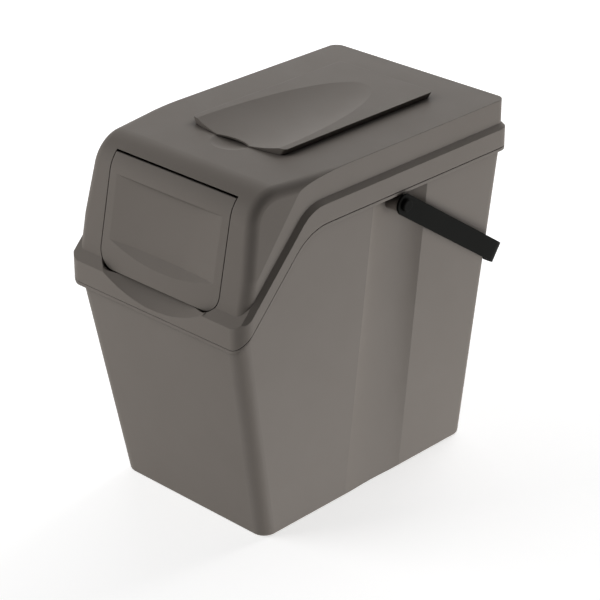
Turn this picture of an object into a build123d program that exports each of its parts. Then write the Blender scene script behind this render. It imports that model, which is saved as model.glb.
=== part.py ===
from build123d import *
import math
import os

# Recycling bin: a tapered tub with a lift-off lid, a swinging front flap, a lifting top flap and a
# U-shaped handle. Millimetres, X across the front, -Y to the front, +Z up, origin under the tub on
# the floor.

# Tub
BASE_HALF_X = 103.6
BASE_HALF_Y = 153.3
SIDE_FLARE = 0.0505
FRONT_FLARE = 0.187
REAR_FLARE = 0.093
TUB_CORNER_R = 15.0
TUB_FOOT_R = 4.0
TUB_WALL = 2.2
TUB_FLOOR = 2.5

# Rim of the tub and skirt of the lid: flat at the back, then a slope down to the front
RIM_Z = 332.5
RIM_BEND_Y = -109.0
RIM_BEND_R = 60.0
RIM_SLOPE_DEG = 46.6
SKIRT_HALF_X = 123.2
SKIRT_FRONT_Y = -201.9
SKIRT_REAR_Y = 190.1
SKIRT_CORNER_R = 16.0
SKIRT_HEIGHT = 24.3
SHOULDER_BEND_Y = -107.6
SHOULDER_BEND_R = 45.0
SHOULDER_BEVEL = 4.6
SHOULDER_SPLIT_Y = -150.0
LID_WALL = 2.2
RIM_GAP = 0.8
LIP_THICKNESS = 3.2
SPIGOT_GAP = 0.8
SPIGOT_WALL = 2.2
SEAT_GAP = 0.25

# Upper body of the lid
LID_RISE = 49.5
LID_TOP_Z = RIM_Z + LID_RISE
LID_LEDGE = 4.7
LID_HALF_X = SKIRT_HALF_X - LID_LEDGE
LID_REAR_Y = SKIRT_REAR_Y - LID_LEDGE
LID_REAR_CORNER_R = 11.0
LID_FRONT_CORNER_R = 12.0
ROLL_R = 36.0
ROLL_CENTRE_Y = -140.0
FRONT_LEAN_DEG = 11.64
FACET_POINT_Y = -111.4
FACET_NORMAL = (0.977, -0.169, 0.132)

# Front flap, measured up the leaning front from the lower end of the roll
FLAP_HALF_X = 83.0
FLAP_BELOW = 96.7
FLAP_ABOVE = 18.9
FLAP_CORNER_R = 20.0
FLAP_WALL = 2.2
FLAP_SIDE_GAP = 1.0
FLAP_TOP_GAP = 2.2
PANEL_BORDER = 10.0
PANEL_HALF_X = FLAP_HALF_X - PANEL_BORDER
PANEL_DEPTH = 5.0
PANEL_LOW = 67.1
PANEL_HIGH = 0.8
PANEL_RAMP_LENGTH = 12.0
FLAP_AXIS_INSET = 5.3
FLAP_AXIS_ANGLE_DEG = 142.9
FLAP_PIN_R = 2.0
FLAP_BOSS_R = 4.0
FLAP_BOSS_INSET = 7.0
FLAP_BOSS_INNER_X = FLAP_HALF_X - FLAP_BOSS_INSET
FLAP_BOSS_WIDTH = 5.5
BRACKET_R = 4.2
BRACKET_WIDTH = 4.0
RUNNING_FIT = 0.08

# Finger scoop in the skirt under the front flap
SCOOP_R = 144.0
SCOOP_DROP = 93.2
SCOOP_LOW_Z = RIM_Z - SCOOP_DROP
SCOOP_DEPTH = 15.9
SCOOP_INNER_Y = SKIRT_FRONT_Y + SCOOP_DEPTH
SCOOP_HEIGHT = 24.7
SCOOP_TOP_Z = SCOOP_LOW_Z + SCOOP_HEIGHT
SCOOP_NOTCH_GAP = 0.6

# Top flap
PLATE_RISE = 7.0
PLATE_TOP_Z = LID_TOP_Z + PLATE_RISE
PLATE_LIFT = 0.4
PLATE_HALF_X = 64.5
PLATE_UNDERCUT = 4.0
PLATE_REAR_Y = 134.0
PLATE_FRONT_Y = -89.5
PLATE_FRONT_R = 246.0
PLATE_NOTCH_HALF_X = 22.0
PLATE_NOTCH_Y = -81.8
PLATE_CORNER_R = 4.0
PLATE_SKIN = 1.8
DISH_CENTRE_Y = -88.0
DISH_DEPTH = 6.9
DISH_CROSS_R = 235.0
DISH_LONG_R = 2616.0
DISH_HALF_TURN_DEG = 6.0
PLATE_AXIS_INSET = 2.0
PLATE_AXIS_Y = PLATE_REAR_Y - PLATE_AXIS_INSET
PLATE_AXIS_RISE = 3.0
PLATE_AXIS_Z = LID_TOP_Z + PLATE_AXIS_RISE
PLATE_PIN_R = 1.5
PLATE_PIN_HALF_LENGTH = 6.0
PLATE_LUG_INSET = 14.5
PLATE_LUG_X = PLATE_HALF_X - PLATE_LUG_INSET
PLATE_LUG_WIDTH = 6.0
PLATE_LUG_R = 2.6
PLATE_LUG_GAP = 0.3
PLATE_BOSS_LENGTH = 4.0
PLATE_REAR_CHAMFER = 1.5

# Opening and finger dish in the top of the lid
TOP_OPENING_INSET = 12.5
TOP_OPENING_HALF_X = PLATE_HALF_X - TOP_OPENING_INSET
TOP_OPENING_SETBACK = 10.5
TOP_OPENING_FRONT_Y = PLATE_FRONT_Y + TOP_OPENING_SETBACK
TOP_OPENING_REAR_INSET = 22.0
TOP_OPENING_REAR_Y = PLATE_REAR_Y - TOP_OPENING_REAR_INSET
TOP_OPENING_CORNER_R = 8.0
TOP_FLANGE_WALL = 2.0
TOP_FLANGE_DEPTH = 8.0
FINGER_DISH_Y = -87.0
FINGER_DISH_R = 23.5
FINGER_DISH_DEPTH = 4.5
PLATE_BELLY_GAP = 0.3

# Upright channels in the sides of the tub
CHANNEL_FRONT_Y = -36.0
CHANNEL_FRONT_LEAN = 0.060
CHANNEL_REAR_Y = 48.0
CHANNEL_REAR_LEAN = 0.047
CHANNEL_FOOT_DEPTH = 3.3
CHANNEL_HEAD_DEPTH = 13.0
CHANNEL_HEAD_GAP = 2.2

# Handle
HANDLE_AXIS_Y = 22.7
HANDLE_AXIS_DROP = 14.8
HANDLE_AXIS_Z = RIM_Z - HANDLE_AXIS_DROP
HANDLE_DROOP_DEG = 34.5
HANDLE_LENGTH = 191.2
HANDLE_WIDTH = 22.0
HANDLE_THICKNESS = 2.5
HANDLE_SIDE_GAP = 1.7
HANDLE_BEND_R = 20.0
HANDLE_GRIP_WIDTH = 14.0
HANDLE_TAPER = 12.0
TUB_HUB_R = 9.0
HANDLE_HUB_GAP = 0.4
TUB_HUB_FACE_X = SKIRT_HALF_X + HANDLE_SIDE_GAP - HANDLE_HUB_GAP
STUD_R = 3.5
STUD_CAP_R = 6.5
STUD_CAP_HEIGHT = 3.5
STUD_CAP_ROUND = 1.5
STUD_CAP_GAP = 0.3
STUD_DEPTH = 13.4

# Reach of the tools that cut: far enough to pass through anything
FAR = 600.0
SQRT_2 = math.sqrt(2)
MIRROR = Plane.YZ
SIDES = (("right", 1), ("left", -1))


def rounded_block(half_x, front_y, rear_y, corner_r, low_z, high_z):
    """Upright block with rounded vertical corners."""
    length = rear_y - front_y
    outline = Pos(0, (front_y + rear_y) / 2, low_z) * RectangleRounded(2 * half_x, length, corner_r)
    return extrude(outline, high_z - low_z)


def below_profile(height, bend_y, bend_r, shift=0.0):
    """Everything under a line that is flat at the back and slopes down to the front."""
    fall = math.tan(math.radians(RIM_SLOPE_DEG)) * (FAR + bend_y)
    side = Polyline(
        (bend_y, height),
        (-FAR, height - fall),
        (-FAR, -FAR),
        (FAR, -FAR),
        (FAR, height),
        close=True,
    )
    face = make_face(Plane.YZ * side)
    bend = face.vertices().sort_by_distance((0, bend_y, height))[0]
    face = fillet(bend, bend_r)
    return Pos(0, 0, shift) * extrude(face, FAR, both=True)


def below_rim(shift=0.0):
    return below_profile(RIM_Z, RIM_BEND_Y, RIM_BEND_R, shift)


def below_shoulder(shift=0.0):
    return below_profile(RIM_Z + SKIRT_HEIGHT, SHOULDER_BEND_Y, SHOULDER_BEND_R, shift)


def above_shoulder_side(offset, x):
    """Face in the plane of a side: everything over the shoulder's line, moved down square to it."""
    slope = math.radians(RIM_SLOPE_DEG)
    height = RIM_Z + SKIRT_HEIGHT - offset
    bend_y = SHOULDER_BEND_Y + offset * math.tan(slope / 2)
    side = Polyline(
        (bend_y, height),
        (-FAR, height - math.tan(slope) * (FAR + bend_y)),
        (-FAR, FAR),
        (FAR, FAR),
        (FAR, height),
        close=True,
    )
    face = make_face(Plane.YZ * side)
    bend = face.vertices().sort_by_distance((0, bend_y, height))[0]
    return Pos(x, 0, 0) * fillet(bend, SHOULDER_BEND_R - offset)


def shouldered_block(inset, drop, depth):
    """Block under the shoulder: its sides and rear end in a bevel, its front in a plain edge."""
    half_x = SKIRT_HALF_X - inset
    leg = SHOULDER_BEVEL + depth * SQRT_2 - inset - drop
    block = rounded_block(
        half_x, SKIRT_FRONT_Y + inset, SKIRT_REAR_Y - inset, SKIRT_CORNER_R - inset, 0, LID_TOP_Z,
    )
    block &= below_shoulder(-drop)
    full_width = 2 * (half_x - SKIRT_CORNER_R / 2)
    edges = [
        edge for edge in block.edges()
        if edge.center().Z > TUB_CORNER_R and abs(edge.tangent_at(0.5).Z) < 0.99
        and (abs(edge.tangent_at(0.5).X) < 0.99 or edge.length < full_width)
    ]
    rear_half = Pos(0, SHOULDER_SPLIT_Y + FAR, 0) * Box(2 * FAR, 2 * FAR, 4 * FAR)
    rear = chamfer(edges, leg) & rear_half
    sections = [above_shoulder_side(0, half_x - leg), above_shoulder_side(2 * leg, half_x + leg)]
    above = Pos(0, 0, -drop) * loft(sections, ruled=True)
    return rear + ((block - rear_half) - above - mirror(above, MIRROR))


def tub_half_x(z):
    return BASE_HALF_X + SIDE_FLARE * z


def tub_block(inset, low_z):
    """Flared block of the tub, moved in by a wall."""
    high_z = RIM_Z + SKIRT_HEIGHT
    sections = []
    for z in (low_z, high_z):
        front = -BASE_HALF_Y - FRONT_FLARE * z + inset
        rear = BASE_HALF_Y + REAR_FLARE * z - inset
        half_x = tub_half_x(z) - inset
        outline = RectangleRounded(2 * half_x, rear - front, TUB_CORNER_R - inset)
        sections.append(Pos(0, (front + rear) / 2, z) * outline)
    return loft(sections, ruled=True)


def channel(inset, sideways, low_z, high_z):
    """One upright hollow with a curved floor, from low_z to high_z on the right side."""
    head_z = RIM_Z - RIM_GAP - LIP_THICKNESS
    sections = []
    for z in (low_z, high_z):
        depth = CHANNEL_FOOT_DEPTH + (CHANNEL_HEAD_DEPTH - CHANNEL_FOOT_DEPTH) * z / head_z
        front = CHANNEL_FRONT_Y + CHANNEL_FRONT_LEAN * z - sideways
        rear = CHANNEL_REAR_Y + CHANNEL_REAR_LEAN * z + sideways
        width = rear - front
        wall = tub_half_x(z) - inset
        outer = tub_half_x(z) + LIP_THICKNESS
        floor = Bezier(
            (wall, front),
            (wall - 1.20 * depth, front + 0.30 * width),
            (wall - 1.35 * depth, front + 0.72 * width),
            (wall, rear),
        )
        sides = Polyline((wall, rear), (outer, rear), (outer, front), (wall, front))
        sections.append(Pos(0, 0, z) * make_face([floor, sides]))
    return loft(sections, ruled=True)


def slanted_scoop(radius, high_z):
    """Round bar that climbs back into the skirt at 45 degrees, cut off at its working length."""
    start = SKIRT_FRONT_Y - 2 * TUB_CORNER_R
    centre_z = SCOOP_LOW_Z + SCOOP_R + start - SKIRT_FRONT_Y
    ring = Plane((0, start, centre_z), x_dir=(1, 0, 0), z_dir=(0, 1, 0)) * Circle(radius)
    bar = extrude(ring, amount=FAR, dir=(0, 1, 1))
    window = Pos(0, (start + SCOOP_INNER_Y) / 2, high_z - FAR / 2)
    return bar & (window * Box(FAR, SCOOP_INNER_Y - start, FAR))


def make_bin_body():
    rim_low = -RIM_GAP - LIP_THICKNESS
    wall = tub_block(0, 0)
    wall = fillet(wall.faces().sort_by(Axis.Z)[0].edges(), TUB_FOOT_R)
    wall &= below_rim(-RIM_GAP)
    head_z = RIM_Z + rim_low
    flute = channel(0, 0, -1, head_z - CHANNEL_HEAD_GAP)
    wall = wall - flute - mirror(flute, MIRROR)

    lip = rounded_block(SKIRT_HALF_X, SKIRT_FRONT_Y, SKIRT_REAR_Y, SKIRT_CORNER_R, 0, LID_TOP_Z)
    lip = (lip & below_rim(-RIM_GAP)) - below_rim(rim_low)

    inset = LID_WALL + SPIGOT_GAP
    spigot = shouldered_block(inset, LID_WALL + SEAT_GAP, LID_WALL + SEAT_GAP / SQRT_2)
    spigot -= below_rim(rim_low)
    inset += SPIGOT_WALL
    spigot_bore = rounded_block(
        SKIRT_HALF_X - inset, SKIRT_FRONT_Y + inset, SKIRT_REAR_Y - inset,
        SKIRT_CORNER_R - inset, 0, LID_TOP_Z,
    ) - below_rim(rim_low)
    spigot -= slanted_scoop(SCOOP_R + LID_WALL + SCOOP_NOTCH_GAP, SCOOP_TOP_Z + 2 * SKIRT_HEIGHT)

    hollow = tub_block(TUB_WALL, TUB_FLOOR) & below_rim(-RIM_GAP)
    belly = channel(TUB_WALL, TUB_WALL, -1, head_z)
    hollow = hollow - belly - mirror(belly, MIRROR)

    body = (wall + lip + spigot) - hollow - spigot_bore
    hub_length = TUB_HUB_FACE_X - (tub_half_x(HANDLE_AXIS_Z) - CHANNEL_HEAD_DEPTH) + TUB_WALL / 2
    hub_x = TUB_HUB_FACE_X - hub_length / 2
    for _, side in SIDES:
        place = Pos(side * hub_x, HANDLE_AXIS_Y, HANDLE_AXIS_Z) * Rot(0, 90, 0)
        body += place * Cylinder(TUB_HUB_R, hub_length)
        hole_x = TUB_HUB_FACE_X - STUD_DEPTH / 2
        hole = Pos(side * hole_x, HANDLE_AXIS_Y, HANDLE_AXIS_Z) * Rot(0, 90, 0)
        body -= hole * Cylinder(STUD_R, STUD_DEPTH)
    return body


def front_plane(inset=0.0):
    """Plane of the leaning front: local X across, local Y up the front, local Z outward."""
    lean = math.radians(FRONT_LEAN_DEG)
    reach = ROLL_R - inset
    y = ROLL_CENTRE_Y - reach * math.cos(lean)
    z = LID_TOP_Z - ROLL_R + reach * math.sin(lean)
    return Plane((0, y, z), x_dir=(1, 0, 0), z_dir=(0, -math.cos(lean), math.sin(lean)))


def upper_body(inset, low_z):
    """Block of the lid above its skirt, moved in by a wall."""
    lean = math.radians(FRONT_LEAN_DEG)
    top = LID_TOP_Z - inset
    rear = LID_REAR_Y - inset
    start = front_plane(inset).origin
    roll_z = LID_TOP_Z - ROLL_R
    half = math.radians((90 + FRONT_LEAN_DEG) / 2)
    reach = ROLL_R - inset
    middle = (ROLL_CENTRE_Y - reach * math.sin(half), roll_z + reach * math.cos(half))
    foot_y = start.Y - (start.Z - low_z) * math.tan(lean)
    front = Line((foot_y, low_z), (start.Y, start.Z))
    roll = ThreePointArc((start.Y, start.Z), middle, (ROLL_CENTRE_Y, top))
    rest = Polyline((ROLL_CENTRE_Y, top), (rear, top), (rear, low_z), (foot_y, low_z))
    profile = Plane.YZ * make_face([front, roll, rest])
    block = extrude(profile, LID_HALF_X - inset, both=True)
    rear_corners = block.edges().filter_by(Axis.Z).sort_by(Axis.Y)[-2:]
    block = fillet(rear_corners, LID_REAR_CORNER_R - inset)
    normal = Vector(*FACET_NORMAL).normalized()
    point = Vector(LID_HALF_X, FACET_POINT_Y, LID_TOP_Z) - normal * inset
    facet = Plane(point, z_dir=normal) * Pos(0, 0, FAR / 2) * Box(3 * FAR, 3 * FAR, FAR)
    block = block - facet - mirror(facet, MIRROR)
    front_edges = [
        edge for edge in block.edges().filter_by(GeomType.LINE)
        if abs(edge.center().X) > PANEL_HALF_X and edge.center().Y < SKIRT_FRONT_Y + TUB_CORNER_R * 2
        and edge.length > TUB_CORNER_R * 2 and abs(edge.tangent_at(0.5).Z) > 0.5
    ]
    return block, front_edges


def lid_shape(inset, low_z):
    block, front_edges = upper_body(inset, low_z)
    return fillet(front_edges, LID_FRONT_CORNER_R - inset)


def flap_prism(side_gap, top_gap, depth_in, depth_out):
    """Straight-sided plug through the leaning front, in the outline of the front flap."""
    low = -FLAP_BELOW - side_gap
    high = FLAP_ABOVE + top_gap
    half_x = FLAP_HALF_X + side_gap
    outline = Pos(0, (low + high) / 2) * Rectangle(2 * half_x, high - low)
    low_corners = outline.vertices().sort_by(Axis.Y)[:2]
    outline = fillet(low_corners, FLAP_CORNER_R + side_gap)
    return front_plane() * Pos(0, 0, -depth_in) * extrude(outline, depth_in + depth_out)


def flap_axis():
    """Place of the front flap's hinge, just inside the roll."""
    reach = ROLL_R - FLAP_AXIS_INSET
    angle = math.radians(FLAP_AXIS_ANGLE_DEG)
    y = ROLL_CENTRE_Y + reach * math.cos(angle)
    return y, LID_TOP_Z - ROLL_R + reach * math.sin(angle)


def cross_bar(radius, x_from, x_to, y, z):
    """Round bar along X."""
    return Pos((x_from + x_to) / 2, y, z) * Rot(0, 90, 0) * Cylinder(radius, abs(x_to - x_from))


def panel_plug(skin):
    """Shallow hollow panel of the front flap, with its ramp, as a plug to cut or to line."""
    panel_r = (PANEL_HALF_X**2 + PANEL_DEPTH**2) / (2 * PANEL_DEPTH)
    outer = 3 * PANEL_DEPTH
    half_x = PANEL_HALF_X + skin
    depth = PANEL_DEPTH + skin
    edge = panel_r - PANEL_DEPTH
    rim = math.sqrt((panel_r + skin) ** 2 - half_x**2) - edge
    floor = ThreePointArc((-half_x, -rim), (0, -depth), (half_x, -rim))
    sides = Polyline((half_x, -rim), (half_x, outer), (-half_x, outer), (-half_x, -rim))
    section = make_face([floor, sides])
    base = front_plane()
    cut = Plane(
        base.origin - base.y_dir * PANEL_LOW,
        x_dir=base.x_dir,
        z_dir=-base.y_dir,
    )
    section = cut * section
    upright = extrude(section, amount=PANEL_LOW - PANEL_HIGH, dir=tuple(base.y_dir))
    ramp_way = base.z_dir * PANEL_DEPTH - base.y_dir * PANEL_RAMP_LENGTH
    ramp = extrude(section, amount=2 * PANEL_RAMP_LENGTH, dir=tuple(ramp_way.normalized()))
    return upright + ramp


def plate_outline(side_inset, end_inset, z):
    """Plan of the top flap at a height, moved in at its sides and at its two ends."""
    half_x = PLATE_HALF_X - side_inset
    notch_x = PLATE_NOTCH_HALF_X + end_inset
    rear = PLATE_REAR_Y - end_inset
    reach = PLATE_FRONT_R - end_inset
    centre = PLATE_FRONT_Y + PLATE_FRONT_R

    def front(x):
        return centre - math.sqrt(reach**2 - x**2)

    middle = (half_x + notch_x) / 2
    lines = [
        ThreePointArc((-half_x, front(half_x)), (-middle, front(middle)), (-notch_x, front(notch_x))),
        ThreePointArc((-notch_x, front(notch_x)), (0, PLATE_NOTCH_Y + end_inset), (notch_x, front(notch_x))),
        ThreePointArc((notch_x, front(notch_x)), (middle, front(middle)), (half_x, front(half_x))),
        Polyline((half_x, front(half_x)), (half_x, rear), (-half_x, rear), (-half_x, front(half_x))),
    ]
    outline = make_face(lines)
    corners = [vertex for vertex in outline.vertices() if abs(vertex.X) > half_x - 1]
    return Pos(0, 0, z) * fillet(corners, PLATE_CORNER_R)


def plate_dish(skin):
    """Long shallow hollow in the top flap, as a ring of large radius."""
    turn_z = PLATE_TOP_Z - DISH_DEPTH + DISH_LONG_R
    centre_z = PLATE_TOP_Z - DISH_DEPTH + DISH_CROSS_R
    disc = Plane((0, DISH_CENTRE_Y, centre_z), x_dir=(1, 0, 0), z_dir=(0, 1, 0)) * Circle(DISH_CROSS_R + skin)
    turn = Axis((0, DISH_CENTRE_Y, turn_z), (1, 0, 0))
    return revolve(disc.rotate(turn, -DISH_HALF_TURN_DEG), turn, 2 * DISH_HALF_TURN_DEG)


def finger_dish(skin):
    """Shallow round dish in the lid in front of the top flap."""
    ball_r = (FINGER_DISH_R**2 + FINGER_DISH_DEPTH**2) / (2 * FINGER_DISH_DEPTH)
    return Pos(0, FINGER_DISH_Y, LID_TOP_Z - FINGER_DISH_DEPTH + ball_r) * Sphere(ball_r + skin)


def plate_relief():
    """Room in the lid for the belly of the top flap, within the flap's outline."""
    outline = plate_outline(-PLATE_BELLY_GAP, -PLATE_BELLY_GAP, LID_TOP_Z - 2 * LID_WALL)
    return extrude(outline, 2 * LID_WALL) & plate_dish(PLATE_SKIN + PLATE_BELLY_GAP)


def make_lid():
    skirt = shouldered_block(0, 0, 0) - below_rim()
    body = lid_shape(0, 0) - below_rim(SKIRT_HEIGHT / 2)
    hollow = shouldered_block(LID_WALL, LID_WALL, LID_WALL)
    lid = (skirt + body) - hollow - (lid_shape(LID_WALL, 0) - below_rim(SKIRT_HEIGHT / 2))

    dish_floor = finger_dish(LID_WALL) & (Pos(0, 0, LID_TOP_Z - FAR / 2) * Box(FAR, FAR, FAR))
    lid = lid + dish_floor - finger_dish(0)
    opening_length = TOP_OPENING_REAR_Y - TOP_OPENING_FRONT_Y
    opening_y = (TOP_OPENING_REAR_Y + TOP_OPENING_FRONT_Y) / 2
    flange_low = LID_TOP_Z - LID_WALL - TOP_FLANGE_DEPTH
    flange = RectangleRounded(
        2 * (TOP_OPENING_HALF_X + TOP_FLANGE_WALL),
        opening_length + 2 * TOP_FLANGE_WALL,
        TOP_OPENING_CORNER_R + TOP_FLANGE_WALL,
    )
    flange = Pos(0, opening_y, flange_low) * extrude(flange, TOP_FLANGE_DEPTH + LID_WALL / 2)
    opening = RectangleRounded(2 * TOP_OPENING_HALF_X, opening_length, TOP_OPENING_CORNER_R)
    opening = Pos(0, opening_y, flange_low - 1) * extrude(opening, FAR)
    lid = lid + (flange - finger_dish(0)) - opening - plate_relief()

    floor = slanted_scoop(SCOOP_R + LID_WALL, SCOOP_TOP_Z) - slanted_scoop(SCOOP_R, SCOOP_TOP_Z)
    floor &= rounded_block(
        PANEL_HALF_X, SKIRT_FRONT_Y, SCOOP_INNER_Y, TUB_FOOT_R, 0, SCOOP_TOP_Z,
    )
    lid = lid + floor - slanted_scoop(SCOOP_R, SCOOP_TOP_Z)
    lid -= flap_prism(FLAP_SIDE_GAP, FLAP_TOP_GAP, ROLL_R, ROLL_R)

    y, z = flap_axis()
    bracket_x = FLAP_HALF_X + FLAP_SIDE_GAP + PLATE_LUG_GAP
    for _, side in SIDES:
        lid += cross_bar(BRACKET_R, side * bracket_x, side * (bracket_x + BRACKET_WIDTH), y, z)
        lid -= cross_bar(FLAP_PIN_R, side * (bracket_x - 1), side * (bracket_x + BRACKET_WIDTH), y, z)
        lug_z = (LID_TOP_Z - LID_WALL / 2 + PLATE_AXIS_Z) / 2
        lug_height = PLATE_AXIS_Z - LID_TOP_Z + LID_WALL / 2
        lug = Pos(side * PLATE_LUG_X, PLATE_AXIS_Y, lug_z) * Box(PLATE_LUG_WIDTH, 2 * PLATE_LUG_R, lug_height)
        inner_x = side * (PLATE_LUG_X - PLATE_LUG_WIDTH / 2)
        outer_x = side * (PLATE_LUG_X + PLATE_LUG_WIDTH / 2)
        lug += cross_bar(PLATE_LUG_R, inner_x, outer_x, PLATE_AXIS_Y, PLATE_AXIS_Z)
        lid += lug
        lid -= cross_bar(PLATE_PIN_R, inner_x, outer_x, PLATE_AXIS_Y, PLATE_AXIS_Z)
    return lid


def make_front_flap():
    plug = flap_prism(0, 0, ROLL_R / 2, ROLL_R)
    shell = lid_shape(0, 0) - lid_shape(FLAP_WALL, 0)
    flap = shell & plug
    lining = panel_plug(FLAP_WALL) & lid_shape(0, 0) & plug
    flap = flap + lining - panel_plug(0)
    y, z = flap_axis()
    for _, side in SIDES:
        inner = side * FLAP_BOSS_INNER_X
        outer = side * (FLAP_BOSS_INNER_X + FLAP_BOSS_WIDTH)
        flap += cross_bar(FLAP_BOSS_R, inner, outer, y, z)
        flap -= cross_bar(FLAP_PIN_R + RUNNING_FIT, inner, side * FLAP_HALF_X, y, z)
    return flap


def make_front_flap_pin(side):
    y, z = flap_axis()
    outer = FLAP_HALF_X + FLAP_SIDE_GAP + PLATE_LUG_GAP + BRACKET_WIDTH
    return cross_bar(FLAP_PIN_R, side * FLAP_BOSS_INNER_X, side * outer, y, z)


def plate_block(wall, low_z, high_z):
    """Block of the top flap between two heights, with its undercut sides, moved in by a wall."""
    height = PLATE_TOP_Z - LID_TOP_Z - PLATE_LIFT
    sections = []
    for z in (low_z, high_z):
        undercut = PLATE_UNDERCUT * (PLATE_TOP_Z - z) / height
        sections.append(plate_outline(undercut + wall, wall, z))
    return loft(sections, ruled=True)


def make_top_flap():
    low_z = LID_TOP_Z + PLATE_LIFT
    deep_z = low_z - DISH_DEPTH
    skin = plate_dish(PLATE_SKIN)
    block = plate_block(0, deep_z, PLATE_TOP_Z)
    below = Pos(0, 0, low_z - FAR / 2) * Box(FAR, FAR, FAR)
    inside = plate_block(PLATE_SKIN, deep_z - 1, PLATE_TOP_Z - PLATE_SKIN)
    plate = block - (below - skin) - (inside - skin) - plate_dish(0)

    reach = PLATE_LUG_R + PLATE_LUG_GAP
    for _, side in SIDES:
        lug_in = PLATE_LUG_X - PLATE_LUG_WIDTH / 2 - PLATE_LUG_GAP
        lug_out = PLATE_LUG_X + PLATE_LUG_WIDTH / 2 + PLATE_LUG_GAP
        for near, far in ((lug_in - PLATE_BOSS_LENGTH, lug_in), (lug_out, lug_out + PLATE_BOSS_LENGTH)):
            boss_height = PLATE_TOP_Z - PLATE_SKIN / 2 - low_z
            boss = Box(far - near, 2 * reach, boss_height)
            boss = Pos(side * (near + far) / 2, PLATE_AXIS_Y - 1, low_z + boss_height / 2) * boss
            plate += boss
        plate -= cross_bar(reach, side * lug_in, side * lug_out, PLATE_AXIS_Y, PLATE_AXIS_Z)
        slot = Box(lug_out - lug_in, 2 * reach + 2, PLATE_AXIS_Z - low_z + 1)
        slot_z = (PLATE_AXIS_Z + low_z - 1) / 2
        plate -= Pos(side * PLATE_LUG_X, PLATE_AXIS_Y + 1, slot_z) * slot
        swing = Box(lug_out - lug_in, 2 * reach, 2 * reach)
        plate -= Pos(side * PLATE_LUG_X, PLATE_AXIS_Y + reach, PLATE_AXIS_Z) * swing
        bore_in = side * (lug_in - PLATE_BOSS_LENGTH - 1)
        bore_out = side * (PLATE_LUG_X + PLATE_PIN_HALF_LENGTH + PLATE_LUG_GAP)
        plate -= cross_bar(PLATE_PIN_R + RUNNING_FIT, bore_in, bore_out, PLATE_AXIS_Y, PLATE_AXIS_Z)
    corner = Pos(0, PLATE_REAR_Y, low_z) * Rot(45, 0, 0)
    return plate - corner * Box(FAR, PLATE_REAR_CHAMFER * SQRT_2, PLATE_REAR_CHAMFER * SQRT_2)


def make_top_flap_pin(side):
    inner = side * (PLATE_LUG_X - PLATE_PIN_HALF_LENGTH)
    outer = side * (PLATE_LUG_X + PLATE_PIN_HALF_LENGTH)
    return cross_bar(PLATE_PIN_R, inner, outer, PLATE_AXIS_Y, PLATE_AXIS_Z)


def handle_bend(outer_x, straight):
    """Far end of the strap: a rounded bend at each side and the narrower grip between them."""
    inner_r = HANDLE_BEND_R - HANDLE_THICKNESS
    outline = RectangleRounded(2 * outer_x, 4 * HANDLE_BEND_R, HANDLE_BEND_R)
    inner_x = outer_x - HANDLE_THICKNESS
    outline -= RectangleRounded(2 * inner_x, 4 * HANDLE_BEND_R - 2 * HANDLE_THICKNESS, inner_r)
    ring = Pos(0, HANDLE_LENGTH - 2 * HANDLE_BEND_R, 0) * extrude(outline, HANDLE_WIDTH / 2, both=True)
    far_half = Pos(0, straight + HANDLE_BEND_R, 0) * Box(FAR, 2 * HANDLE_BEND_R, HANDLE_WIDTH)
    ring &= far_half
    grip_half_x = outer_x - HANDLE_BEND_R - HANDLE_TAPER
    for side in (1, -1):
        low, edge, high = HANDLE_GRIP_WIDTH / 2, HANDLE_WIDTH / 2, HANDLE_WIDTH / 2 + 1
        taper = Polyline(
            (-grip_half_x, side * low),
            (grip_half_x, side * low),
            (outer_x - HANDLE_BEND_R, side * edge),
            (outer_x - HANDLE_BEND_R, side * high),
            (HANDLE_BEND_R - outer_x, side * high),
            (HANDLE_BEND_R - outer_x, side * edge),
            close=True,
        )
        ring -= Pos(0, HANDLE_LENGTH, 0) * extrude(Plane.XZ * make_face(taper), HANDLE_BEND_R, both=True)
    return ring


def make_handle():
    inner_x = SKIRT_HALF_X + HANDLE_SIDE_GAP
    outer_x = inner_x + HANDLE_THICKNESS
    straight = HANDLE_LENGTH - HANDLE_BEND_R
    arm_y = straight / 2
    arm = Pos((inner_x + outer_x) / 2, arm_y, 0) * Box(HANDLE_THICKNESS, straight, HANDLE_WIDTH)
    arm += cross_bar(HANDLE_WIDTH / 2, inner_x, outer_x, 0, 0)
    arm -= cross_bar(STUD_R + RUNNING_FIT, inner_x - 1, outer_x + 1, 0, 0)
    bail = arm + mirror(arm, MIRROR) + handle_bend(outer_x, straight)
    return Pos(0, HANDLE_AXIS_Y, HANDLE_AXIS_Z) * Rot(-HANDLE_DROOP_DEG, 0, 0) * bail


def make_handle_stud(side):
    face = SKIRT_HALF_X + HANDLE_SIDE_GAP + HANDLE_THICKNESS + STUD_CAP_GAP
    shaft_start = TUB_HUB_FACE_X - STUD_DEPTH
    cap = Cylinder(STUD_CAP_R, STUD_CAP_HEIGHT)
    cap = fillet(cap.edges().sort_by(Axis.Z)[-1], STUD_CAP_ROUND)
    cap = Pos(face + STUD_CAP_HEIGHT / 2, HANDLE_AXIS_Y, HANDLE_AXIS_Z) * Rot(0, 90, 0) * cap
    stud = cap + cross_bar(STUD_R, shaft_start, face + 1, HANDLE_AXIS_Y, HANDLE_AXIS_Z)
    if side < 0:
        stud = mirror(stud, MIRROR)
    return stud


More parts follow.
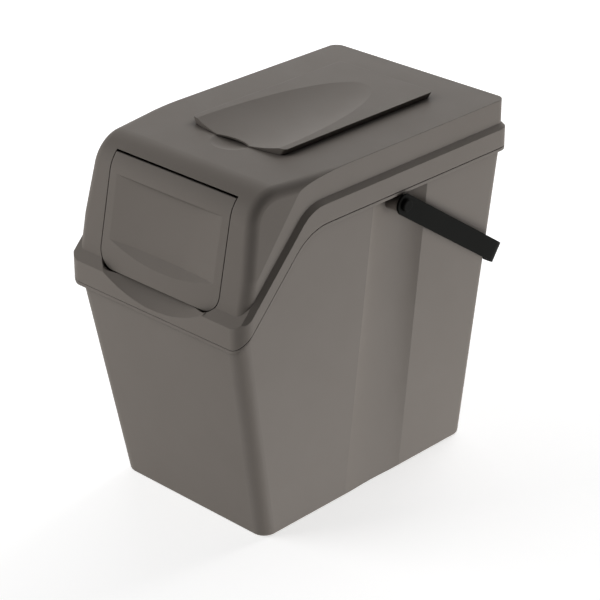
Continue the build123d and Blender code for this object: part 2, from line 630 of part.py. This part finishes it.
def main():
    nodes = {
        "bin_body": make_bin_body(),
        "lid": make_lid(),
        "front_flap": make_front_flap(),
        "top_flap": make_top_flap(),
        "handle": make_handle(),
    }
    for name, side in SIDES:
        nodes["handle_stud_" + name] = make_handle_stud(side)
        nodes["front_flap_pin_" + name] = make_front_flap_pin(side)
        nodes["top_flap_pin_" + name] = make_top_flap_pin(side)
    os.makedirs("parts", exist_ok=True)
    for name, shape in nodes.items():
        solids = shape.solids()
        print(name, "solids", len(solids), "volume", round(sum(solid.volume for solid in solids), 1))
        export_step(shape, os.path.join("parts", name + ".step"))


if __name__ == "__main__":
    main()
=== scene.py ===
"""Looks of the recycling bin: tub, lift-off lid, two flaps and a carrying handle in moulded plastic."""

import logging
import math
from dataclasses import dataclass, field
from enum import Enum

import bmesh
import bpy
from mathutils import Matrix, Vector


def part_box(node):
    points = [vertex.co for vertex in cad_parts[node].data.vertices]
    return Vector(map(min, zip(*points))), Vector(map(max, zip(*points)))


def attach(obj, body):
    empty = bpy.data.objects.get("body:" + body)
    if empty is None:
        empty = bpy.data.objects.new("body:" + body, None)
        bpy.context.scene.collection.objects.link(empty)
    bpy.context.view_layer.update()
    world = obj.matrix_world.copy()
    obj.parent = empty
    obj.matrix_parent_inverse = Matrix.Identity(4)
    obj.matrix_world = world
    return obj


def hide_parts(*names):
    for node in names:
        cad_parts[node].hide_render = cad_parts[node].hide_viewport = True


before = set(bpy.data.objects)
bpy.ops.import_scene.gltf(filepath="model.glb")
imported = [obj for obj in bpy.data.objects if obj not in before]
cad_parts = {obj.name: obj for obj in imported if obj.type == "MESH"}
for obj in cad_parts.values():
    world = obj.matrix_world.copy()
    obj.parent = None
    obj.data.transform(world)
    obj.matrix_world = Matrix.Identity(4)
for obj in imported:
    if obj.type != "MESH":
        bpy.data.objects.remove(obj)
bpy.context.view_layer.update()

LOG = logging.getLogger("recycling_bin")
MM = 0.001
MERGE_WITHIN = 0.001 * MM


class Side(Enum):
    """Which half of the bin a small part is on."""

    LEFT = -1
    RIGHT = 1


def new_node(
    tree: bpy.types.NodeTree, kind: str, operation: str = "", **inputs: object
) -> bpy.types.Node:
    """Add a node and set its inputs.

    Args:
        tree: node tree that it is added to.
        kind: Blender's name of the kind of node.
        operation: what a math node does.
        inputs: value of each input, with an underscore for each space in the input's label.

    Returns:
        The node.
    """
    node = tree.nodes.new(kind)
    if operation:
        node.operation = operation
    for label, value in inputs.items():
        node.inputs[label.replace("_", " ")].default_value = value
    return node


@dataclass(frozen=True)
class MouldedPlastic:
    """Opaque moulded plastic: a spark-eroded grain, faint flow marks, edges rubbed a little paler, and
    painted shade that darkens the colour in gaps and inner corners.

    Attributes:
        name: name of the material.
        colour: base colour, linear.
        rubbed: colour of the rubbed edges and the paler flow marks, linear.
        roughness: mean roughness.
        roughness_spread: how far the roughness wanders to either side.
        flow_scale: scale of the flow marks.
        flow_share: share of the rubbed colour in a flow mark.
        rub_share: share of the rubbed colour on an edge.
        grain_size: width of one grain of the texture, in metres.
        grain_height: strength of the grain's bump, 0 to 1.
        sheen_level: specular level of the surface.
        edge_radius: radius of its rounded edges, in metres.
        crevice_reach: how far from an inner corner the painted shade reaches, in metres.
        crevice_shade: share of the colour that the painted shade leaves deep in a gap.
    """

    name: str
    colour: tuple[float, float, float]
    rubbed: tuple[float, float, float]
    roughness: float = 0.5
    roughness_spread: float = 0.06
    flow_scale: float = 14.0
    flow_share: float = 0.22
    rub_share: float = 0.5
    grain_size: float = 0.0009
    grain_height: float = 0.12
    sheen_level: float = 0.06
    edge_radius: float = 0.0009
    crevice_reach: float = 0.012
    crevice_shade: float = 0.35

    def material(self) -> bpy.types.Material:
        """Build the node tree once and hand back the material.

        Returns:
            The material, shared by every piece with this finish.
        """
        known = bpy.data.materials.get(self.name)
        if known:
            return known
        material = bpy.data.materials.new(self.name)
        material.use_nodes = True
        tree = material.node_tree
        shader = tree.nodes["Principled BSDF"]
        shader.inputs["Specular IOR Level"].default_value = self.sheen_level
        place = tree.nodes.new("ShaderNodeTexCoord")
        colour = self._mottle(tree, place)
        tree.links.new(colour, shader.inputs["Base Color"])
        tree.links.new(self._shine(tree, place), shader.inputs["Roughness"])
        tree.links.new(self._grain(tree, place, self._rounded(tree)), shader.inputs["Normal"])
        return material

    def _mottle(self, tree: bpy.types.NodeTree, place: bpy.types.Node) -> bpy.types.NodeSocket:
        """Flow marks and rubbed edges, with painted shade laid over them in the gaps.

        Args:
            tree: node tree of the material.
            place: texture coordinate node.

        Returns:
            The colour socket.
        """
        flow = new_node(tree, "ShaderNodeTexNoise", Scale=self.flow_scale, Detail=5.0, Roughness=0.55)
        tree.links.new(place.outputs["Object"], flow.inputs["Vector"])
        marks = new_node(tree, "ShaderNodeMapRange", From_Min=0.35, From_Max=0.75, To_Max=self.flow_share)
        tree.links.new(flow.outputs["Fac"], marks.inputs["Value"])
        shape = new_node(tree, "ShaderNodeNewGeometry")
        turn = new_node(tree, "ShaderNodeVectorMath", "DOT_PRODUCT")
        tree.links.new(shape.outputs["Normal"], turn.inputs[0])
        tree.links.new(self._rounded(tree), turn.inputs[1])
        edge = new_node(tree, "ShaderNodeMapRange", From_Min=0.99, From_Max=0.80, To_Max=self.rub_share)
        tree.links.new(turn.outputs["Value"], edge.inputs["Value"])
        both = new_node(tree, "ShaderNodeMath", "MAXIMUM")
        tree.links.new(marks.outputs["Result"], both.inputs[0])
        tree.links.new(edge.outputs["Result"], both.inputs[1])
        mix = tree.nodes.new("ShaderNodeMix")
        mix.data_type = "RGBA"
        mix.inputs["A"].default_value = (*self.colour, 1.0)
        mix.inputs["B"].default_value = (*self.rubbed, 1.0)
        tree.links.new(both.outputs["Value"], mix.inputs["Factor"])
        # painted shade: the colour is darkened where ambient occlusion finds a gap or inner corner
        return self._painted_crevice_shade(tree, mix.outputs["Result"])

    def _painted_crevice_shade(self, tree: bpy.types.NodeTree, unshaded: bpy.types.NodeSocket) -> bpy.types.NodeSocket:
        """Painted shade: the colour darkened by ambient occlusion in the gaps and inner corners, where
        shade falls.

        Args:
            tree: node tree of the material.
            unshaded: colour of the open surface, before the painted shade.

        Returns:
            The colour socket.
        """
        # painted shade from ambient occlusion, strongest deep in gaps and inner corners
        hollow = new_node(tree, "ShaderNodeAmbientOcclusion", Distance=self.crevice_reach)
        hollow.samples = 8
        depth = new_node(
            tree, "ShaderNodeMapRange", From_Min=0.25, From_Max=0.92, To_Min=self.crevice_shade
        )
        tree.links.new(hollow.outputs["AO"], depth.inputs["Value"])
        shade = tree.nodes.new("ShaderNodeMix")
        shade.data_type = "RGBA"
        shade.blend_type = "MULTIPLY"
        shade.inputs["Factor"].default_value = 1.0
        tree.links.new(unshaded, shade.inputs["A"])
        tree.links.new(depth.outputs["Result"], shade.inputs["B"])
        return shade.outputs["Result"]

    def _shine(self, tree: bpy.types.NodeTree, place: bpy.types.Node) -> bpy.types.NodeSocket:
        """Roughness that wanders a little, as handled plastic does.

        Args:
            tree: node tree of the material.
            place: texture coordinate node.

        Returns:
            The roughness socket.
        """
        cloud = new_node(tree, "ShaderNodeTexNoise", Scale=38.0, Detail=3.0)
        tree.links.new(place.outputs["Object"], cloud.inputs["Vector"])
        low, high = self.roughness - self.roughness_spread, self.roughness + self.roughness_spread
        spread = new_node(tree, "ShaderNodeMapRange", To_Min=low, To_Max=high)
        tree.links.new(cloud.outputs["Fac"], spread.inputs["Value"])
        return spread.outputs["Result"]

    def _rounded(self, tree: bpy.types.NodeTree) -> bpy.types.NodeSocket:
        """Edges rounded as a mould leaves them.

        Args:
            tree: node tree of the material.

        Returns:
            The normal socket.
        """
        edge = tree.nodes.get("rounded_edges")
        if edge is None:
            edge = new_node(tree, "ShaderNodeBevel", Radius=self.edge_radius)
            edge.name = "rounded_edges"
            edge.samples = 6
        return edge.outputs["Normal"]

    def _grain(
        self, tree: bpy.types.NodeTree, place: bpy.types.Node, normal: bpy.types.NodeSocket
    ) -> bpy.types.NodeSocket:
        """Fine grain of the mould.

        Args:
            tree: node tree of the material.
            place: texture coordinate node.
            normal: normal that the grain stands on.

        Returns:
            The normal socket.
        """
        cells = new_node(tree, "ShaderNodeTexNoise", Scale=1.0 / self.grain_size, Detail=2.0)
        tree.links.new(place.outputs["Object"], cells.inputs["Vector"])
        bump = new_node(tree, "ShaderNodeBump", Strength=self.grain_height, Distance=self.grain_size / 4)
        tree.links.new(cells.outputs["Fac"], bump.inputs["Height"])
        tree.links.new(normal, bump.inputs["Normal"])
        return bump.outputs["Normal"]


GREY = MouldedPlastic(
    "grey_plastic_moulded", (0.186, 0.166, 0.148), (0.215, 0.193, 0.174), roughness=0.52,
)
BLACK = MouldedPlastic(
    "black_plastic_moulded", (0.0062, 0.0064, 0.0056), (0.0125, 0.0127, 0.0112),
    roughness=0.5, grain_size=0.0007, sheen_level=0.02,
)


@dataclass(frozen=True)
class StudioFloor:
    """Pale floor that shows as white and keeps the bin's soft shadow.

    Attributes:
        name: name of the material.
        paint: colour of the floor, linear grey.
        lift: light added for the rays of seen_rays, so that the floor near the bin shows as white.
        lit_to: distance from the bin up to which the lamps light the floor, in metres.
        white_from: distance from which the floor is white without them, in metres.
    """

    name: str = "studio_floor"
    paint: float = 0.80
    lift: float = 0.63
    lit_to: float = 0.9
    white_from: float = 4.5

    def material(self) -> bpy.types.Material:
        """Build the floor's material.

        Returns:
            The material.
        """
        material = bpy.data.materials.new(self.name)
        material.use_nodes = True
        tree = material.node_tree
        tree.nodes.remove(tree.nodes["Principled BSDF"])
        output = tree.nodes["Material Output"]
        paint = tree.nodes.new("ShaderNodeBsdfDiffuse")
        paint.inputs["Color"].default_value = (self.paint, self.paint, self.paint, 1.0)
        glow = tree.nodes.new("ShaderNodeEmission")
        path = tree.nodes.new("ShaderNodeLightPath")
        seen = seen_rays(tree, path)
        place = tree.nodes.new("ShaderNodeNewGeometry")
        distance = new_node(tree, "ShaderNodeVectorMath", "LENGTH")
        tree.links.new(place.outputs["Position"], distance.inputs[0])
        lift = new_node(
            tree, "ShaderNodeMapRange", From_Min=self.lit_to, From_Max=self.white_from, To_Min=self.lift
        )
        tree.links.new(distance.outputs["Value"], lift.inputs["Value"])
        level = new_node(tree, "ShaderNodeMath", "MULTIPLY")
        tree.links.new(lift.outputs["Result"], level.inputs[1])
        tree.links.new(seen, level.inputs[0])
        tree.links.new(level.outputs["Value"], glow.inputs["Strength"])
        both = tree.nodes.new("ShaderNodeAddShader")
        tree.links.new(paint.outputs["BSDF"], both.inputs[0])
        tree.links.new(glow.outputs["Emission"], both.inputs[1])
        tree.links.new(both.outputs["Shader"], output.inputs["Surface"])
        return material


def seen_rays(tree: bpy.types.NodeTree, path: bpy.types.Node) -> bpy.types.NodeSocket:
    """Camera, glossy and transmission rays as one mask.

    Args:
        tree: node tree that the mask is built in.
        path: its Light Path node.

    Returns:
        A socket that is 1 on those rays and 0 on the others.
    """
    seen = path.outputs["Is Camera Ray"]
    for kind in ("Is Glossy Ray", "Is Transmission Ray"):
        mask = new_node(tree, "ShaderNodeMath", "MAXIMUM")
        tree.links.new(seen, mask.inputs[0])
        tree.links.new(path.outputs[kind], mask.inputs[1])
        seen = mask.outputs["Value"]
    return seen


def moulded_copy(node: str, finish: MouldedPlastic) -> bpy.types.Object:
    """Closed copy of a CAD node that keeps the exact normals of its surfaces.

    Args:
        node: name of the CAD node.
        finish: finish of the piece.

    Returns:
        A new object with a plain mesh.
    """
    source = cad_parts[node].data
    per_metre = 1.0 / MERGE_WITHIN
    places: dict[tuple[int, ...], int] = {}
    points: list[Vector] = []
    merged: list[int] = []
    for vertex in source.vertices:
        key = tuple(round(value * per_metre) for value in vertex.co)
        if key not in places:
            places[key] = len(points)
            points.append(vertex.co.copy())
        merged.append(places[key])
    faces, normals = [], []
    for polygon in source.polygons:
        corners = [merged[index] for index in polygon.vertices]
        if len(set(corners)) == len(corners):
            faces.append(corners)
            normals.extend(source.corner_normals[loop].vector.copy() for loop in polygon.loop_indices)
    mesh = bpy.data.meshes.new(node + "_moulded")
    mesh.from_pydata(points, [], faces)
    for polygon in mesh.polygons:
        polygon.use_smooth = True
    mesh.normals_split_custom_set(normals)
    return dressed(mesh, node + "_moulded", finish)


def dressed(mesh: bpy.types.Mesh, name: str, finish: MouldedPlastic) -> bpy.types.Object:
    """Hang a finished mesh in the scene with its finish.

    Args:
        mesh: mesh of the piece, at its place in the frame.
        name: name of the new object.
        finish: finish of the piece.

    Returns:
        The object.
    """
    mesh.materials.clear()
    mesh.materials.append(finish.material())
    piece = bpy.data.objects.new(name, mesh)
    bpy.context.scene.collection.objects.link(piece)
    return piece


@dataclass
class HingePins:
    """The two pins of a flap, one at each side, as one Geometry Nodes tree.

    Attributes:
        name: name of the pair.
        nodes: CAD nodes that the pair stands for.
        radius: radius of a pin.
        sides: number of sides that draw its round.
    """

    name: str
    nodes: tuple[str, str]
    radius: float
    sides: int = 40

    def tree(self) -> bpy.types.NodeTree:
        """Tree that puts one turned pin at each side.

        Returns:
            The node group, with named inputs for the pin's sizes.
        """
        tree = bpy.data.node_groups.new(self.name + "_tree", "GeometryNodeTree")
        face = tree.interface
        face.new_socket("Geometry", in_out="OUTPUT", socket_type="NodeSocketGeometry")
        for label in ("Radius", "Length", "Offset X"):
            face.new_socket(label, in_out="INPUT", socket_type="NodeSocketFloat")
        face.new_socket("Axis", in_out="INPUT", socket_type="NodeSocketVector")
        source = tree.nodes.new("NodeGroupInput")
        sink = tree.nodes.new("NodeGroupOutput")
        pin = new_node(tree, "GeometryNodeMeshCylinder", Vertices=self.sides)
        tree.links.new(source.outputs["Radius"], pin.inputs["Radius"])
        tree.links.new(source.outputs["Length"], pin.inputs["Depth"])
        points = new_node(tree, "GeometryNodeMeshLine", Count=len(Side))
        points.mode = "END_POINTS"
        for side, target in ((Side.LEFT, "Start Location"), (Side.RIGHT, "Offset")):
            offset = new_node(tree, "ShaderNodeMath", "MULTIPLY")
            offset.inputs[1].default_value = side.value
            tree.links.new(source.outputs["Offset X"], offset.inputs[0])
            place = tree.nodes.new("ShaderNodeCombineXYZ")
            tree.links.new(offset.outputs["Value"], place.inputs["X"])
            add = new_node(tree, "ShaderNodeVectorMath", "ADD")
            tree.links.new(place.outputs["Vector"], add.inputs[0])
            tree.links.new(source.outputs["Axis"], add.inputs[1])
            tree.links.new(add.outputs["Vector"], points.inputs[target])
        copies = new_node(tree, "GeometryNodeInstanceOnPoints", Rotation=(0.0, math.radians(90), 0.0))
        tree.links.new(points.outputs["Mesh"], copies.inputs["Points"])
        tree.links.new(pin.outputs["Mesh"], copies.inputs["Instance"])
        real = tree.nodes.new("GeometryNodeRealizeInstances")
        tree.links.new(copies.outputs["Instances"], real.inputs["Geometry"])
        dress = new_node(tree, "GeometryNodeSetMaterial", Material=GREY.material())
        tree.links.new(real.outputs["Geometry"], dress.inputs["Geometry"])
        tree.links.new(dress.outputs["Geometry"], sink.inputs["Geometry"])
        return tree

    def build(self) -> bpy.types.Object:
        """Run the tree with the sizes of the CAD pins and hand back a plain mesh.

        Returns:
            The two pins as one piece.
        """
        low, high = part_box(self.nodes[1])
        sizes = {
            "Radius": self.radius,
            "Length": high[0] - low[0],
            "Offset X": (low[0] + high[0]) / 2,
            "Axis": (0.0, (low[1] + high[1]) / 2, (low[2] + high[2]) / 2),
        }
        holder = bpy.data.objects.new(self.name + "_holder", bpy.data.meshes.new(self.name + "_holder"))
        bpy.context.scene.collection.objects.link(holder)
        modifier = holder.modifiers.new("pins", "NODES")
        tree = self.tree()
        modifier.node_group = tree
        for item in tree.interface.items_tree:
            if item.in_out == "INPUT":
                modifier[item.identifier] = sizes[item.name]
        depsgraph = bpy.context.evaluated_depsgraph_get()
        mesh = bpy.data.meshes.new_from_object(holder.evaluated_get(depsgraph))
        bpy.data.objects.remove(holder)
        return dressed(mesh, self.name, GREY)


@dataclass
class Tub:
    """Tapered tub with its rim, its spigot, its handle hubs and the two upright channels."""

    node: str = "bin_body"

    def build(self) -> None:
        """Make the tub and let it ride on the bin's body."""
        settle(moulded_copy(self.node, GREY), "bin", "grey_plastic", self.node)


@dataclass
class Lid:
    """Lift-off lid: skirt, bevelled shoulder, rolled front, two openings and finger dish."""

    node: str = "lid"

    def build(self) -> None:
        """Make the lid and let it ride on its own body."""
        settle(moulded_copy(self.node, GREY), "lid", "grey_plastic", self.node)


@dataclass
class FrontFlap:
    """Swinging front flap with its sunk panel, and the pins that carry it."""

    node: str = "front_flap"
    pins: HingePins = field(
        default_factory=lambda: HingePins(
            "front_flap_pins", ("front_flap_pin_left", "front_flap_pin_right"), 2.0 * MM
        )
    )

    def build(self) -> None:
        """Make the flap and its pins."""
        settle(moulded_copy(self.node, GREY), "front_flap", "grey_plastic", self.node)
        settle(self.pins.build(), "lid", "grey_plastic", *self.pins.nodes)


@dataclass
class TopFlap:
    """Lifting plate on the top of the lid with its long dish, and its pins."""

    node: str = "top_flap"
    pins: HingePins = field(
        default_factory=lambda: HingePins(
            "top_flap_pins", ("top_flap_pin_left", "top_flap_pin_right"), 1.5 * MM
        )
    )

    def build(self) -> None:
        """Make the plate and its pins."""
        settle(moulded_copy(self.node, GREY), "top_flap", "grey_plastic", self.node)
        settle(self.pins.build(), "lid", "grey_plastic", *self.pins.nodes)


@dataclass
class CarryingHandle:
    """Strap handle that turns on two studs in the tub's sides."""

    node: str = "handle"
    stud: str = "handle_stud_"

    def build(self) -> None:
        """Make the strap and its two studs."""
        settle(moulded_copy(self.node, BLACK), "handle", "black_plastic", self.node)
        for side in Side:
            node = self.stud + side.name.lower()
            settle(moulded_copy(node, BLACK), "bin", "black_plastic", node)


def settle(piece: bpy.types.Object, body: str, slot: str, *nodes: str) -> None:
    """Let a piece ride on its body in place of its CAD nodes.

    Args:
        piece: the finished piece.
        body: CAD body that it moves with.
        slot: not used.
        nodes: CAD nodes that it stands for.
    """
    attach(piece, body)
    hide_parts(*nodes)
    LOG.info("%s rides on %s, %d faces", piece.name, body, len(piece.data.polygons))


@dataclass
class Softbox:
    """Large soft lamp aimed at the middle of the bin.

    Attributes:
        name: name of the lamp.
        azimuth: compass angle that it shines from, 0 from the front and 90 from the right.
        elevation: height above the horizon, in degrees.
        power: watts.
        distance: distance from the middle of the bin.
        size: side of the lamp.
    """

    name: str
    azimuth: float
    elevation: float
    power: float
    distance: float = 2.2
    size: float = 1.5

    def build(self, centre: Vector) -> None:
        """Hang the lamp.

        Args:
            centre: the point that it is aimed at.
        """
        turn, climb = math.radians(self.azimuth), math.radians(self.elevation)
        level = math.cos(climb)
        way = Vector((math.sin(turn) * level, -math.cos(turn) * level, math.sin(climb)))
        lamp = bpy.data.lights.new(self.name, "AREA")
        lamp.shape = "SQUARE"
        lamp.size = self.size
        lamp.energy = self.power
        holder = bpy.data.objects.new(self.name, lamp)
        holder.location = centre + way * self.distance
        holder.rotation_euler = way.to_track_quat("Z", "Y").to_euler()
        bpy.context.scene.collection.objects.link(holder)


@dataclass
class Studio:
    """Floor, sky, lamps and camera.

    Attributes:
        floor: finish of the floor.
        floor_radius: radius of the floor's disc.
        sky: strength of the even light from all round.
        aim: point that the lamps are aimed at.
        camera_place: place of the camera, solved from the photograph's straight edges.
        camera_tilt: its turn about X, in degrees.
        camera_turn: its turn about Z, in degrees.
        lens: focal length on a 36 mm sensor.
        boxes: the lamps.
    """

    floor: StudioFloor = field(default_factory=StudioFloor)
    floor_radius: float = 30.0
    sky: float = 0.08
    aim: tuple[float, float, float] = (0.0, 0.0, 0.2)
    camera_place: tuple[float, float, float] = (1.44129, -1.49490, 1.20568)
    camera_tilt: float = 63.67
    camera_turn: float = 43.85
    lens: float = 133.9
    boxes: tuple[Softbox, ...] = (
        Softbox("front_left_box", -40.0, 25.0, 23.0),
        Softbox("rear_box", 180.0, 40.0, 20.5),
        Softbox("left_box", -90.0, 70.0, 3.0),
        Softbox("left_rear_box", -135.0, 25.0, 7.6),
        Softbox("side_fill_from_below", 122.0, -32.0, 47.0),
        Softbox("side_fill_from_far_below", 95.0, -40.0, 7.0),
        Softbox("front_fill_from_below", -15.0, -45.0, 18.5),
    )

    def build(self) -> None:
        """Set up everything that isn't the bin."""
        self._floor()
        self._sky()
        for box in self.boxes:
            box.build(Vector(self.aim))
        self._camera()
        bpy.context.scene.view_settings.view_transform = "Standard"

    def _floor(self) -> None:
        """Lay a large disc as the floor; it casts no shadow, so the fill lamps below it shine through."""
        mesh = bpy.data.meshes.new("floor")
        disc = bmesh.new()
        bmesh.ops.create_circle(disc, cap_ends=True, radius=self.floor_radius, segments=96)
        disc.to_mesh(mesh)
        disc.free()
        mesh.materials.append(self.floor.material())
        floor = bpy.data.objects.new("floor", mesh)
        bpy.context.scene.collection.objects.link(floor)
        floor.visible_shadow = False

    def _sky(self) -> None:
        """Even soft light all round, white to the rays of seen_rays."""
        world = bpy.data.worlds.new("studio")
        bpy.context.scene.world = world
        world.use_nodes = True
        tree = world.node_tree
        sky = tree.nodes["Background"]
        path = tree.nodes.new("ShaderNodeLightPath")
        level = new_node(tree, "ShaderNodeMapRange", To_Min=self.sky)
        tree.links.new(seen_rays(tree, path), level.inputs["Value"])
        sky.inputs["Color"].default_value = (1.0, 1.0, 1.0, 1.0)
        tree.links.new(level.outputs["Result"], sky.inputs["Strength"])

    def _camera(self) -> None:
        """Put the camera where the photograph was taken."""
        lens = bpy.data.cameras.new("photo_camera")
        lens.lens = self.lens
        lens.sensor_width = 36.0
        camera = bpy.data.objects.new("photo_camera", lens)
        camera.location = self.camera_place
        camera.rotation_euler = (math.radians(self.camera_tilt), 0.0, math.radians(self.camera_turn))
        bpy.context.scene.collection.objects.link(camera)
        bpy.context.scene.camera = camera


def main() -> None:
    """Build every sub-assembly in order."""
    logging.basicConfig(level=logging.INFO, format="%(name)s: %(message)s")
    Studio().build()
    for assembly in (Tub(), Lid(), FrontFlap(), TopFlap(), CarryingHandle()):
        assembly.build()


if __name__ == "__main__":
    main()
